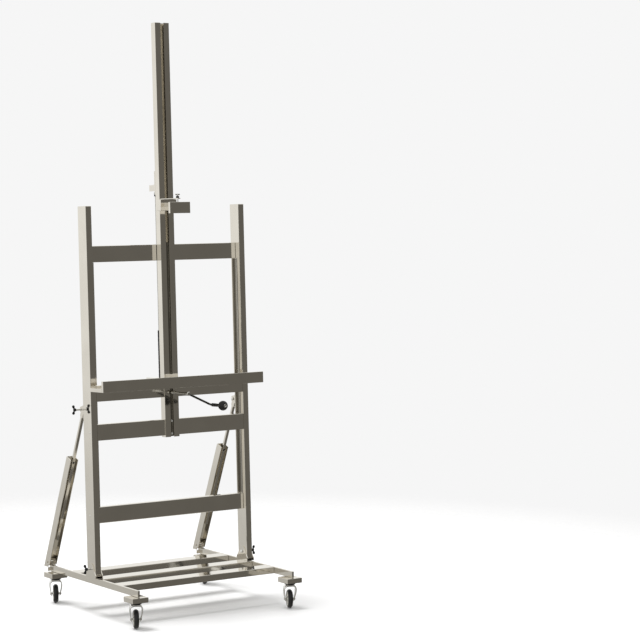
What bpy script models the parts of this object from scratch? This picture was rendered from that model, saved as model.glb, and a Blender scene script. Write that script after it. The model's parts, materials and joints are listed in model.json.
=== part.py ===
"""A polished metal studio easel on casters. Metres, +Z up, -Y to the front, X to the right.

The H-shaped upright frame leans back on two base brackets and two telescoping struts. A crank in the
frame's centre turns a lead screw that lifts the mast, with the canvas tray and the top clamp on it.

Pieces of the upright frame are placed in its own leaning coordinates (x, d, s): d runs to the rear from
the front faces of its posts, and s runs up along the posts.
"""

import math
from collections import namedtuple

import bmesh
import bpy
from mathutils import Matrix, Vector

GAP = 0.0003
SIDES = (("left", -1), ("right", 1))
TUBE_EDGE = 0.0016
SMALL_EDGE = 0.0008
ROUND = 20
HOLE_ROUND = 12

# Base: two rails, three cross bars
CENTRE_SHIFT = -0.0113112
RAIL_X, RAIL_WIDTH, RAIL_HEIGHT, RAIL_LENGTH, RAIL_TOP = 0.3588, 0.064, 0.0264, 0.695, 0.1524
RAIL_WALL, VENT_RADIUS = 0.002, 0.004
BAR_WIDTH = 0.064
BAR_PLACES = {"front": -0.1865, "middle": -0.025, "rear": 0.154}

# Casters
PLATE_SIDE, PLATE_THICK = 0.070, 0.020
CASTER_PLACES = {"front": -0.3255, "rear": 0.3155}
CASTER_TURN = math.radians(-25.2)
CASTER_TRAIL = 0.010
WHEEL_RADIUS, WHEEL_HALF, WHEEL_BORE, AXLE_RADIUS = 0.0375, 0.010, 0.0044, 0.004
HUB_HALF, AXLE_LENGTH = 0.0125, 0.045
DISC_RADIUS, FORK_TOP, FORK_ROOT = 0.022, 0.098, 0.086
FORK_OUTER = ((0.018, 0.0265), (0.025, 0.064), (0.0258, 0.080), (0.0245, 0.088), (0.0205, 0.0945))
FORK_OUTER += ((0.014, FORK_TOP),)
FORK_INNER = ((0.0105, 0.0895), (0.0175, 0.088), (0.0215, 0.082), (0.0222, 0.076), (0.0218, 0.064))
FORK_INNER += ((0.0148, 0.0265),)

# Upright frame
LEAN = math.radians(2.4)
FRAME_Y, FRAME_Z = -0.0343, 0.1524
POST_X, POST_WIDTH, POST_DEPTH, POST_FOOT, POST_TOP = 0.3576, 0.0257, 0.0645, 0.008, 1.4704
TUBE_WALL = 0.002
TILT_D, TILT_S = POST_DEPTH / 2, 0.037
SPAN = POST_X - POST_WIDTH / 2 - GAP
TOP_BAR = (0.0308, 0.0577, 1.248, 1.3129)
BOTTOM_BAR = (0.0185, 0.0455, 0.2151, 0.2800)
TRAY_BAR = (0.0, 0.027, 0.6985, 0.7625)
LOWER_BAR = (0.0, 0.0273, 0.5444, 0.6094)
RAIL_FRONT, RAIL_REAR, RAIL_WIDTH, RAIL_WALL = 0.010, 0.046, 0.0095, 0.0015

# Mast and the fixed channel below it
MAST_HALF, MAST_FRONT, MAST_REAR, MAST_TOP = 0.0325, -0.0031, 0.028, 2.1995
CHANNEL_WALL, SLOT_HALF = 0.0025, 0.0075
LOWER_CHANNEL = (0.537, 0.764)
MAST_FOOT = 0.7645
GUIDE_HALF, GUIDE_FRONT, GUIDE_REAR, GUIDE_LOW, GUIDE_TOP = 0.026, 0.0022, 0.0222, 0.5405, 1.320
GUIDE_SCREWS = {"upper": 0.601, "lower": 0.5505}

# Tray
TRAY_HALF, LIP_FRONT, LIP_REAR, SHELF_REAR = 0.375, -0.108, -0.095, -0.0045
SHELF_LOW, SHELF_TOP, LIP_TOP, TRAY_WALL = 0.740, 0.755, 0.7845, 0.0025

# Top clamp
CLAMP_PLAY, CLAMP_SCREW_D, STRAP_S = 0.0005, -0.088, 1.4938

# Lift drive
SCREW_D, SCREW_RADIUS, SCREW_LOW, SCREW_TOP = 0.076, 0.006, 0.708, 1.5275
CRANK_S, CRANK_D, ARM_END_X, ARM_END_S, ARM_RADIUS = 0.716, -0.128, 0.105, 0.666, 0.0042
SHAFT_RADIUS, SHAFT_HOLE = 0.005, 0.0062
HOUSING, HOUSING_WALL = (0.027, 0.0285, 0.147, 0.703, 0.772), 0.003
BLOCK_HALF, BLOCK_REAR, BLOCK_TOP, PLUG_HALF = 0.0135, 0.106, 1.5525, 0.0095
BALL_D, BALL_RADIUS, SHANK_RADIUS, PIN_END_D = -0.2196, 0.0195, 0.0064, -0.200

# Struts
STRUT_ANGLE = math.radians(22.6)
EAR_D, EAR_S, EAR_RADIUS, EAR_OFFSET, EAR_THICK, EAR_PLATE_HALF = 0.080, 0.6665, 0.0125, 0.0107, 0.003, 0.017
HEEL_Y, HEEL_Z = 0.3553, 0.165
STRUT_WIDTH, STRUT_DEPTH, STRUT_WALL, STRUT_TOP, STRUT_FOOT = 0.035, 0.036, 0.0025, 0.482, -0.040
ROD_WIDTH, ROD_DEPTH, ROD_LENGTH = 0.012, 0.010, 0.600
ROD_HEAD_RADIUS, ROD_HEAD_LENGTH = 0.010, 0.030
BOLT_RADIUS, BOLT_HOLE, BORE_LENGTH = 0.004, 0.0046, 0.1

# Wing knobs: how far a bolt reaches inwards, and where its handle starts and ends, from the post's middle
TILT_KNOB = (0.0173, 0.032, 0.042)
STRUT_KNOB = (0.0127, 0.0375, 0.0475)
WING_CENTRE, WING_RADIUS, WING_THICK = (0.010, 0.0132), 0.0056, 0.005

Frame = namedtuple("Frame", "empty origin")


def clear_scene():
    for obj in list(bpy.data.objects):
        bpy.data.objects.remove(obj, do_unlink=True)


def collection(name):
    made = bpy.data.collections.new(name)
    bpy.context.scene.collection.children.link(made)
    return made


clear_scene()
PARTS = collection("studio_easel")
CUTTERS = collection("cutters")


def finish(name, colour, roughness, metallic):
    material = bpy.data.materials.new(name)
    material.use_nodes = True
    shader = material.node_tree.nodes["Principled BSDF"]
    shader.inputs["Base Color"].default_value = (*colour, 1.0)
    shader.inputs["Roughness"].default_value = roughness
    shader.inputs["Metallic"].default_value = metallic
    return material


def polished(name):
    return finish(name, (0.72, 0.69, 0.63), 0.08, 1.0)


def black(name):
    return finish(name, (0.012, 0.012, 0.012), 0.35, 0.0)


def frame_at(name, location, parent=None, origin=None, turn=(0.0, 0.0, 0.0)):
    """An empty on a joint's axis. Its pieces are placed in coordinates where the empty is at origin."""
    empty = bpy.data.objects.new(name, None)
    PARTS.objects.link(empty)
    empty.location = location
    if parent:
        empty.parent = parent.empty
        empty.location = Vector(location) - parent.origin
    empty.rotation_euler = turn
    return Frame(empty, Vector(origin if origin is not None else location))


def place(obj, frame, at, turn=(0.0, 0.0, 0.0)):
    obj.parent = frame.empty
    obj.location = Vector(at) - frame.origin
    obj.rotation_euler = turn
    return obj


def mesh_object(name, mesh, material):
    obj = bpy.data.objects.new(name, mesh)
    if material is None:
        CUTTERS.objects.link(obj)
        obj.hide_render = True
        obj.display_type = "WIRE"
    else:
        PARTS.objects.link(obj)
        mesh.materials.append(material)
    return obj


def from_bmesh(name, solid):
    mesh = bpy.data.meshes.new(name)
    solid.to_mesh(mesh)
    solid.free()
    return mesh


def box(name, frame, low, high, material=None, edge=0.0):
    """A box between two corners of its frame's coordinates. Without a material it is a cutter."""
    low, high = Vector(low), Vector(high)
    solid = bmesh.new()
    bmesh.ops.create_cube(solid, size=1.0)
    bmesh.ops.scale(solid, verts=solid.verts, vec=high - low)
    obj = place(mesh_object(name, from_bmesh(name, solid), material), frame, (low + high) / 2)
    if edge:
        bevel = obj.modifiers.new("edge", "BEVEL")
        bevel.width = edge
        bevel.segments = 2
    return obj


# Turns that carry a shape's own Z axis onto X, -X, d (or Y) and Z, and an outline's plane onto YZ and XZ.
ALONG_X = (0.0, math.pi / 2, 0.0)
ALONG_MINUS_X = (0.0, -math.pi / 2, 0.0)
ALONG_D = (-math.pi / 2, 0.0, 0.0)
ALONG_Z = (0.0, 0.0, 0.0)
UPRIGHT = (math.pi / 2, 0.0, math.pi / 2)
FACING = (math.pi / 2, 0.0, 0.0)


def rod(name, frame, centre, radius, length, turn=ALONG_Z, material=None, segments=ROUND):
    solid = bmesh.new()
    bmesh.ops.create_cone(
        solid, cap_ends=True, segments=segments, radius1=radius, radius2=radius, depth=length
    )
    mesh = from_bmesh(name, solid)
    mesh.shade_smooth()
    mesh.set_sharp_from_angle(angle=math.radians(35))
    return place(mesh_object(name, mesh, material), frame, centre, turn)


def turned(name, frame, at, profile, turn, material=None, closed=False, steps=ROUND):
    """A profile of (radius, height) points, from its top down its outer side, turned about its Z axis."""
    mesh = bpy.data.meshes.new(name)
    edges = [(i, i + 1) for i in range(len(profile) - 1)]
    if closed:
        edges.append((len(profile) - 1, 0))
    mesh.from_pydata([(r, 0.0, z) for r, z in profile], edges, [])
    obj = place(mesh_object(name, mesh, material), frame, at, turn)
    screw = obj.modifiers.new("turn", "SCREW")
    screw.steps = steps
    screw.render_steps = steps
    screw.use_merge_vertices = True
    screw.merge_threshold = 0.00001
    screw.use_smooth_shade = True
    return obj


def as_mesh(curve_object, material):
    """The same shape as a mesh, with its caps welded to its sides."""
    name = curve_object.name
    bpy.context.view_layer.update()
    evaluated = curve_object.evaluated_get(bpy.context.evaluated_depsgraph_get())
    mesh = bpy.data.meshes.new_from_object(evaluated)
    solid = bmesh.new()
    solid.from_mesh(mesh)
    bmesh.ops.remove_doubles(solid, verts=solid.verts, dist=0.000001)
    bmesh.ops.recalc_face_normals(solid, faces=solid.faces)
    solid.to_mesh(mesh)
    solid.free()
    obj = mesh_object(name + "_mesh", mesh, material)
    obj.parent = curve_object.parent
    obj.matrix_local = curve_object.matrix_local
    bpy.data.objects.remove(curve_object, do_unlink=True)
    obj.name = name
    return obj


def outline(name, frame, at, points, thickness, turn, material=None):
    """A flat plate: a closed outline in its own XY plane, extruded to its thickness about that plane."""
    curve = bpy.data.curves.new(name, "CURVE")
    curve.dimensions = "2D"
    curve.fill_mode = "BOTH"
    curve.extrude = thickness / 2
    spline = curve.splines.new("POLY")
    spline.points.add(len(points) - 1)
    for point, (x, y) in zip(spline.points, points):
        point.co = (x, y, 0.0, 1.0)
    spline.use_cyclic_u = True
    obj = bpy.data.objects.new(name, curve)
    PARTS.objects.link(obj)
    return as_mesh(place(obj, frame, at, turn), material)


def bent_rod(name, frame, points, radius, material):
    """A round rod along points given in the frame's coordinates, its first point being its origin."""
    curve = bpy.data.curves.new(name, "CURVE")
    curve.dimensions = "3D"
    curve.bevel_depth = radius
    curve.bevel_resolution = 2
    curve.use_fill_caps = True
    spline = curve.splines.new("POLY")
    spline.points.add(len(points) - 1)
    for point, co in zip(spline.points, points):
        point.co = (*(Vector(co) - Vector(points[0])), 1.0)
    obj = bpy.data.objects.new(name, curve)
    PARTS.objects.link(obj)
    return as_mesh(place(obj, frame, points[0]), material)


def arc(centre, radius, start, end, count):
    """Points on an arc, angles in degrees."""
    angles = [math.radians(start + (end - start) * i / (count - 1)) for i in range(count)]
    return [(centre[0] + radius * math.cos(a), centre[1] + radius * math.sin(a)) for a in angles]


def combine(obj, other, operation):
    boolean = obj.modifiers.new(operation.lower(), "BOOLEAN")
    boolean.operation = operation
    boolean.solver = "EXACT"
    boolean.object = other
    return obj


def cut(obj, *cutters):
    for cutter in cutters:
        combine(obj, cutter, "DIFFERENCE")
    return obj


def join(obj, *others):
    for other in others:
        combine(obj, other, "UNION")
    return obj


def bolt_hole(name, frame, centre):
    return rod(name, frame, centre, BOLT_HOLE, BORE_LENGTH, ALONG_X, segments=HOLE_ROUND)


def cross_tube(name, frame, x_low, x_high, d_low, d_high, s_low, s_high):
    """A rectangular tube along X, open at both ends against its neighbours."""
    tube = box(
        name, frame, (x_low, d_low, s_low), (x_high, d_high, s_high), polished(name), TUBE_EDGE
    )
    bore = box(
        name + "_bore",
        frame,
        (x_low - 0.01, d_low + TUBE_WALL, s_low + TUBE_WALL),
        (x_high + 0.01, d_high - TUBE_WALL, s_high - TUBE_WALL),
    )
    return cut(tube, bore)


def channel(name, frame, s_low, s_high):
    """The mast's section, a box channel with a narrow slot along its front."""
    body = box(
        name,
        frame,
        (-MAST_HALF, MAST_FRONT, s_low),
        (MAST_HALF, MAST_REAR, s_high),
        polished(name),
        SMALL_EDGE,
    )
    inside = box(
        name + "_inside",
        frame,
        (-MAST_HALF + CHANNEL_WALL, MAST_FRONT + CHANNEL_WALL, s_low - 0.01),
        (MAST_HALF - CHANNEL_WALL, MAST_REAR - CHANNEL_WALL, s_high + 0.01),
    )
    slot = box(
        name + "_slot",
        frame,
        (-SLOT_HALF, MAST_FRONT - 0.01, s_low - 0.01),
        (SLOT_HALF, MAST_FRONT + CHANNEL_WALL + 0.004, s_high + 0.01),
    )
    return cut(body, inside, slot)


def make_rail(base, side, sign):
    name = f"rail_{side}"
    low = Vector((sign * RAIL_X - RAIL_WIDTH / 2, -RAIL_LENGTH / 2, RAIL_TOP - RAIL_HEIGHT))
    high = Vector((sign * RAIL_X + RAIL_WIDTH / 2, RAIL_LENGTH / 2, RAIL_TOP))
    wall = Vector((RAIL_WALL, RAIL_WALL, RAIL_WALL))
    rail = box(name, base, low, high, polished(name), TUBE_EDGE)
    hollow = box(name + "_hollow", base, low + wall, high - wall)
    vent = rod(name + "_vent", base, (sign * RAIL_X, 0.06, low.z), VENT_RADIUS, 0.01, segments=HOLE_ROUND)
    return cut(rail, hollow, vent)


def make_base_bars(base):
    inner = RAIL_X - RAIL_WIDTH / 2 - GAP
    for place_name, y in BAR_PLACES.items():
        cross_tube(
            f"base_bar_{place_name}",
            base,
            -inner,
            inner,
            y - BAR_WIDTH / 2,
            y + BAR_WIDTH / 2,
            RAIL_TOP - RAIL_HEIGHT,
            RAIL_TOP,
        )


def make_base_bracket(base, side, sign, pivot):
    """A U with tall rounded cheeks each side of a post's foot, standing on the rail."""
    name = f"base_bracket_{side}"
    cheek, web = 0.0037, 0.0012
    inner = POST_WIDTH / 2 + GAP
    foot = RAIL_TOP + GAP
    half_foot, half_head, head_radius = 0.039, 0.020, 0.020
    shape = [(-half_foot, foot - pivot.z), (half_foot, foot - pivot.z), (half_foot, foot + 0.012 - pivot.z)]
    shape += [(half_head + 0.004, -0.002)]
    shape += arc((0.0, 0.0), head_radius + 0.002, 20, 160, 9)
    shape += [(-half_head - 0.004, -0.002), (-half_foot, foot + 0.012 - pivot.z)]
    centre = sign * POST_X
    plates = [
        outline(
            f"{name}_cheek_{i}" if i else name,
            base,
            (centre + offset * (inner + cheek / 2), pivot.y, pivot.z),
            shape,
            cheek,
            UPRIGHT,
            None if i else polished(name),
        )
        for i, offset in enumerate((-1, 1))
    ]
    reach = inner + cheek - 0.0002
    floor = box(
        name + "_web",
        base,
        (centre - reach, pivot.y - half_foot + 0.001, foot),
        (centre + reach, pivot.y + half_foot - 0.001, foot + web),
    )
    hole = bolt_hole(name + "_hole", base, (centre, pivot.y, pivot.z))
    return cut(join(plates[0], floor, plates[1]), hole)


def make_strut_heel(base, side, sign):
    """A tongue on a rail's rear end that carries the strut's foot, with its riveted pin."""
    name = f"strut_heel_{side}"
    centre = sign * POST_X
    rear = RAIL_LENGTH / 2 + GAP
    half, flange_half, flange_top = 0.005, 0.018, 0.143
    low = Vector((centre - half, rear, RAIL_TOP - RAIL_HEIGHT + 0.004))
    heel = box(name, base, low, (centre + half, HEEL_Y + 0.004, HEEL_Z), polished(name))
    flange = box(
        name + "_flange",
        base,
        (centre - flange_half, rear, low.z - 0.0015),
        (centre + flange_half, rear + 0.003, flange_top),
    )
    nose = rod(name + "_nose", base, (centre, HEEL_Y, HEEL_Z), 0.010, 2 * half, ALONG_X)
    pin_at = (centre, HEEL_Y, HEEL_Z)
    pin = rod(name + "_pin", base, pin_at, BOLT_RADIUS, 0.042, ALONG_X, segments=HOLE_ROUND)
    return join(heel, flange, nose, pin)


def post_rail(name, frame, sign):
    """A channel on a post's inner face, open towards the mast and notched round the two front bars."""
    face = sign * (POST_X - POST_WIDTH / 2)
    mouth = face - sign * RAIL_WIDTH
    past_mouth = mouth - sign * 0.002
    low, high = BOTTOM_BAR[3] + GAP, TOP_BAR[2] - GAP
    root = sorted((mouth, face + sign * TUBE_WALL / 2))
    rail = box(name, frame, (root[0], RAIL_FRONT, low), (root[1], RAIL_REAR, high))
    inside = sorted((past_mouth, face - sign * RAIL_WALL))
    groove = box(
        name + "_groove",
        frame,
        (inside[0], RAIL_FRONT + RAIL_WALL, low - 0.01),
        (inside[1], RAIL_REAR - RAIL_WALL, high + 0.01),
    )
    cut(rail, groove)
    across = sorted((past_mouth, face + sign * TUBE_WALL))
    for i, bar in enumerate((TRAY_BAR, LOWER_BAR)):
        notch_low = (across[0], RAIL_FRONT - 0.002, bar[2] - GAP)
        notch_high = (across[1], bar[1] + GAP, bar[3] + GAP)
        cut(rail, box(f"{name}_notch_{i}", frame, notch_low, notch_high))
    return rail


def make_post(frame, side, sign):
    """A tube open at its foot, with a shallow channel on its inner face."""
    name = f"post_{side}"
    low = Vector((sign * POST_X - POST_WIDTH / 2, 0.0, POST_FOOT))
    high = Vector((sign * POST_X + POST_WIDTH / 2, POST_DEPTH, POST_TOP))
    wall = Vector((TUBE_WALL, TUBE_WALL, TUBE_WALL))
    post = box(name, frame, low, high, polished(name), TUBE_EDGE)
    open_foot = Vector((low.x + TUBE_WALL, low.y + TUBE_WALL, POST_FOOT - 0.01))
    hollow = box(name + "_hollow", frame, open_foot, high - wall)
    cut(post, hollow, bolt_hole(name + "_hole", frame, (sign * POST_X, TILT_D, TILT_S)))
    return join(post, post_rail(name + "_rail", frame, sign))


def make_frame_bars(frame):
    cross_tube("top_bar", frame, -SPAN, SPAN, *TOP_BAR)
    cross_tube("bottom_bar", frame, -SPAN, SPAN, *BOTTOM_BAR)
    for side, sign in SIDES:
        ends = sorted((sign * (MAST_HALF + GAP), sign * SPAN))
        cross_tube(f"tray_bar_{side}", frame, *ends, *TRAY_BAR)
        cross_tube(f"lower_bar_{side}", frame, *ends, *LOWER_BAR)


def make_post_ear(frame, side, sign):
    """A clevis on a post's rear face, with two rounded ears for the strut's rod."""
    name = f"post_ear_{side}"
    centre = sign * POST_X
    face = POST_DEPTH + GAP
    reach = EAR_OFFSET + EAR_THICK / 2
    ear = box(
        name,
        frame,
        (centre - reach, face, EAR_S - EAR_PLATE_HALF),
        (centre + reach, face + 0.0025, EAR_S + EAR_PLATE_HALF),
        polished(name),
    )
    root = (face + 0.0002 - EAR_D, EAR_PLATE_HALF - 0.0015)
    for i, offset in enumerate((-1, 1)):
        shape = [(root[0], -root[1])] + arc((0.0, 0.0), EAR_RADIUS, -62, 62, 9) + [root]
        plate_at = (centre + offset * EAR_OFFSET, EAR_D, EAR_S)
        join(ear, outline(f"{name}_plate_{i}", frame, plate_at, shape, EAR_THICK, UPRIGHT))
    return cut(ear, bolt_hole(name + "_hole", frame, (centre, EAR_D, EAR_S)))


def shaft_hole(name, frame, d):
    """A hole along d through a wall at d, for the crank's shaft."""
    return rod(name, frame, (0.0, d, CRANK_S), SHAFT_HOLE, 0.02, ALONG_D, segments=HOLE_ROUND)


def make_lower_channel(frame):
    lower = channel("lower_channel", frame, *LOWER_CHANNEL)
    return cut(lower, shaft_hole("lower_channel_hole", frame, MAST_REAR))


def make_guide(frame):
    """The inner bar that the mast slides on, with the crank shaft's hole and the screws' holes."""
    guide = box(
        "mast_guide",
        frame,
        (-GUIDE_HALF, GUIDE_FRONT, GUIDE_LOW),
        (GUIDE_HALF, GUIDE_REAR, GUIDE_TOP),
        polished("mast_guide"),
    )
    bore = box(
        "mast_guide_bore",
        frame,
        (-GUIDE_HALF + TUBE_WALL, GUIDE_FRONT + TUBE_WALL, GUIDE_LOW - 0.01),
        (GUIDE_HALF - TUBE_WALL, GUIDE_REAR - TUBE_WALL, GUIDE_TOP + 0.01),
    )
    cut(guide, bore)
    for wall, d in (("front", GUIDE_FRONT), ("rear", GUIDE_REAR)):
        cut(guide, shaft_hole(f"mast_guide_shaft_hole_{wall}", frame, d))
    for place_name, s in GUIDE_SCREWS.items():
        name = f"mast_guide_hole_{place_name}"
        at = (0.0, GUIDE_FRONT, s)
        cut(guide, rod(name, frame, at, 0.0034, 0.012, ALONG_D, segments=HOLE_ROUND))


def make_guide_screws(frame):
    head_rear = GUIDE_FRONT - GAP
    profile = [(0.0, 0.010), (0.003, 0.010), (0.003, head_rear), (0.0055, head_rear)]
    profile += [(0.0055, head_rear - 0.0012), (0.0040, head_rear - 0.0030), (0.0, head_rear - 0.0034)]
    for place_name, s in GUIDE_SCREWS.items():
        name = f"guide_screw_{place_name}"
        turned(name, frame, (0.0, 0.0, s), profile, ALONG_D, polished(name), steps=16)


def make_gear_housing(frame):
    half, front, rear, low, top = HOUSING
    name = "gear_housing"
    housing = box(name, frame, (-half, front, low), (half, rear, top), polished(name), SMALL_EDGE)
    inside = box(
        name + "_inside",
        frame,
        (-half + HOUSING_WALL, front - 0.01, low + HOUSING_WALL - 0.001),
        (half - HOUSING_WALL, rear - HOUSING_WALL, top - HOUSING_WALL),
    )
    hole = rod(name + "_hole", frame, (0.0, SCREW_D, top), 0.0095, 0.02)
    return cut(housing, inside, hole)


def make_mast(mast):
    channel("mast", mast, MAST_FOOT, MAST_TOP)


def make_mast_bracket(mast):
    """The plate and the block behind the mast that the lead screw pushes on, and the block's end plug."""
    bracket = box(
        "mast_bracket",
        mast,
        (-MAST_HALF, 0.0285, 1.512),
        (MAST_HALF, 0.0355, 1.607),
        polished("mast_bracket"),
        SMALL_EDGE,
    )
    low, middle = SCREW_TOP + GAP, (SCREW_TOP + GAP + BLOCK_TOP) / 2
    block = box("mast_bracket_block", mast, (-BLOCK_HALF, 0.034, low), (BLOCK_HALF, BLOCK_REAR, BLOCK_TOP))
    dome = [(0.0, 0.005), (0.006, 0.0045), (0.0095, 0.002), (0.010, -0.002), (0.0, -0.002)]
    boss = turned("mast_bracket_boss", mast, (0.0, SCREW_D, BLOCK_TOP), dome, ALONG_Z)
    reach = PLUG_HALF + GAP
    socket = box(
        "mast_bracket_socket",
        mast,
        (-reach, BLOCK_REAR - 0.009, middle - reach),
        (reach, BLOCK_REAR + 0.01, middle + reach),
    )
    box(
        "block_plug",
        mast,
        (-PLUG_HALF, BLOCK_REAR - 0.009 + GAP, middle - PLUG_HALF),
        (PLUG_HALF, BLOCK_REAR + 0.0008, middle + PLUG_HALF),
        black("block_plug"),
    )
    return cut(join(bracket, block, boss), socket)


def make_lead_screw(mast):
    name, length = "lead_screw", SCREW_TOP - SCREW_LOW
    rod(name, mast, (0.0, SCREW_D, SCREW_LOW + length / 2), SCREW_RADIUS, length, material=polished(name))
    ring = [(0.0063, 0.008), (0.0085, 0.008), (0.0085, -0.008), (0.0063, -0.008)]
    turned("screw_nut", mast, (0.0, SCREW_D, 1.515), ring, ALONG_Z, black("screw_nut"), closed=True)


def make_tray(mast):
    """A shelf and a front lip, each folded sheet and open underneath, and the plate that fixes them."""
    end = TRAY_HALF - TRAY_WALL
    shelf = box(
        "tray_shelf",
        mast,
        (-TRAY_HALF, LIP_REAR + GAP, SHELF_LOW),
        (TRAY_HALF, SHELF_REAR, SHELF_TOP),
        polished("tray_shelf"),
        SMALL_EDGE,
    )
    shelf_room = box(
        "tray_shelf_room",
        mast,
        (-end, LIP_REAR + TRAY_WALL, SHELF_LOW - 0.01),
        (end, SHELF_REAR - TRAY_WALL, SHELF_TOP - TRAY_WALL),
    )
    cut(shelf, shelf_room)
    lip = box(
        "tray_lip",
        mast,
        (-TRAY_HALF, LIP_FRONT, SHELF_LOW),
        (TRAY_HALF, LIP_REAR, LIP_TOP),
        polished("tray_lip"),
        SMALL_EDGE,
    )
    lip_room = box(
        "tray_lip_room",
        mast,
        (-end, LIP_FRONT + TRAY_WALL, SHELF_LOW - 0.01),
        (end, LIP_REAR - TRAY_WALL, LIP_TOP - TRAY_WALL),
    )
    cut(lip, lip_room)
    face = MAST_FRONT - GAP
    box(
        "tray_bracket",
        mast,
        (-0.027, face - 0.0025, SHELF_TOP + GAP),
        (0.027, face, 0.790),
        polished("tray_bracket"),
        SMALL_EDGE,
    )


def make_clamp(clamp):
    """The sleeve that hugs the mast, its arm, the block that holds a canvas down, and a top strap."""
    name, low, high = "clamp_sleeve", (-0.037, -0.019, 1.447), (0.037, 0.014, 1.492)
    sleeve = box(name, clamp, low, high, polished(name), SMALL_EDGE)
    room_half, room_front = MAST_HALF + CLAMP_PLAY, MAST_FRONT - CLAMP_PLAY
    room = box(name + "_room", clamp, (-room_half, room_front, 1.43), (room_half, 0.03, 1.51))
    arm = box(name + "_arm", clamp, (-0.011, -0.0927, 1.463), (0.011, -0.018, 1.4768))
    join(cut(sleeve, room), arm)
    name = "clamp_block"
    box(name, clamp, (-0.047, -0.106, 1.435), (0.047, -0.093, 1.480), polished(name), SMALL_EDGE)
    side = [(0.012, -0.066), (0.030, -0.022), (0.030, -0.0042)]
    strap = [(-x, d) for x, d in side[::-1]] + arc((0.0, CLAMP_SCREW_D), 0.012, 180, 360, 9) + side
    name = "clamp_strap"
    plate = outline(name, clamp, (0.0, 0.0, STRAP_S), strap[::-1], 0.003, ALONG_Z, polished(name))
    cut(plate, rod(name + "_hole", clamp, (0.0, CLAMP_SCREW_D, STRAP_S), 0.0036, 0.02, segments=HOLE_ROUND))


def make_clamp_screw(frame):
    """A wing screw with a round black nut, standing in the strap's rounded end."""
    low, nut, top, shank = 1.4795, 1.4957, 1.512, 0.003
    profile = [(0.0, top), (shank, top), (shank, nut + 0.008), (0.0055, nut + 0.007), (0.0062, nut + 0.004)]
    profile += [(0.0055, nut), (shank, nut), (shank, low), (0.0, low)]
    name = "clamp_screw"
    screw = turned(name, frame, (0.0, CLAMP_SCREW_D, 0.0), profile, ALONG_Z, polished(name), steps=16)
    wing_low, wing_high = Vector((-0.011, -0.002, top - 0.006)), Vector((0.011, 0.002, top + 0.002))
    middle = Vector((0.0, CLAMP_SCREW_D, 0.0))
    return join(screw, box(name + "_wing", frame, wing_low + middle, wing_high + middle))


def make_crank(crank):
    pinion, pinion_front, collar_rear, collar_front = 0.0635, 0.055, -0.008, -0.018
    hub_rear, hub_front = CRANK_D + 0.0085, CRANK_D - 0.0075
    profile = [(0.0, pinion), (0.0072, pinion), (0.0098, pinion_front + 0.002), (0.0098, pinion_front)]
    profile += [(SHAFT_RADIUS, pinion_front), (SHAFT_RADIUS, collar_rear), (0.009, collar_rear)]
    profile += [(0.009, collar_front), (SHAFT_RADIUS, collar_front), (SHAFT_RADIUS, hub_rear)]
    profile += [(0.0085, hub_rear), (0.0085, hub_front)]
    profile += [(0.0065, hub_front - 0.0015), (0.0, hub_front - 0.0015)]
    turned("crank_shaft", crank, (0.0, 0.0, CRANK_S), profile, ALONG_D, polished("crank_shaft"))
    hub = Vector((0.0, CRANK_D, CRANK_S))
    elbow = Vector((ARM_END_X, CRANK_D, ARM_END_S))
    along = (elbow - hub).normalized()
    bend = 0.007
    forward = Vector((0.0, -1.0, 0.0))
    corner = [
        elbow - along * bend * (1 - math.sin(a)) + forward * bend * (1 - math.cos(a))
        for a in (0.0, math.pi / 8, math.pi / 4, 3 * math.pi / 8, math.pi / 2)
    ]
    path = [hub + along * 0.0091] + corner + [Vector((ARM_END_X, PIN_END_D, ARM_END_S))]
    bent_rod("crank_arm", crank, path, ARM_RADIUS, polished("crank_arm"))


def make_crank_knob(knob):
    ball_start = math.asin(SHANK_RADIUS / BALL_RADIUS)
    angles = [ball_start + (math.pi - ball_start) * i / 8 for i in range(9)]
    start = CRANK_D - ARM_RADIUS - 0.0085
    profile = [(0.0, start), (SHANK_RADIUS - 0.0008, start), (SHANK_RADIUS, start - 0.0015)]
    profile += [(BALL_RADIUS * math.sin(a), BALL_D + BALL_RADIUS * math.cos(a)) for a in angles[:-1]]
    profile += [(0.0, BALL_D - BALL_RADIUS)]
    ball = turned("crank_knob", knob, (ARM_END_X, 0.0, ARM_END_S), profile, ALONG_D, black("crank_knob"))
    depth, mouth = PIN_END_D - 0.003, -0.1
    bore_at = (ARM_END_X, (depth + mouth) / 2, ARM_END_S)
    bore_radius = ARM_RADIUS + 0.0006
    bore = rod("crank_knob_bore", knob, bore_at, bore_radius, mouth - depth, ALONG_D, segments=HOLE_ROUND)
    return cut(ball, bore)


def make_drive_tube(drive):
    gear_low, gear_top, tube_top = 0.7268, 0.7315, 0.965
    bore, outer = 0.0066, 0.009
    ring = [(bore, tube_top), (outer, tube_top), (outer, gear_top + 0.008), (0.012, gear_top + 0.008)]
    ring += [(0.012, gear_top), (0.017, gear_top), (0.017, gear_low + 0.001), (0.0155, gear_low)]
    ring += [(bore, gear_low)]
    turned("drive_tube", drive, (0.0, SCREW_D, 0.0), ring, ALONG_Z, black("drive_tube"), closed=True)


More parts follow.
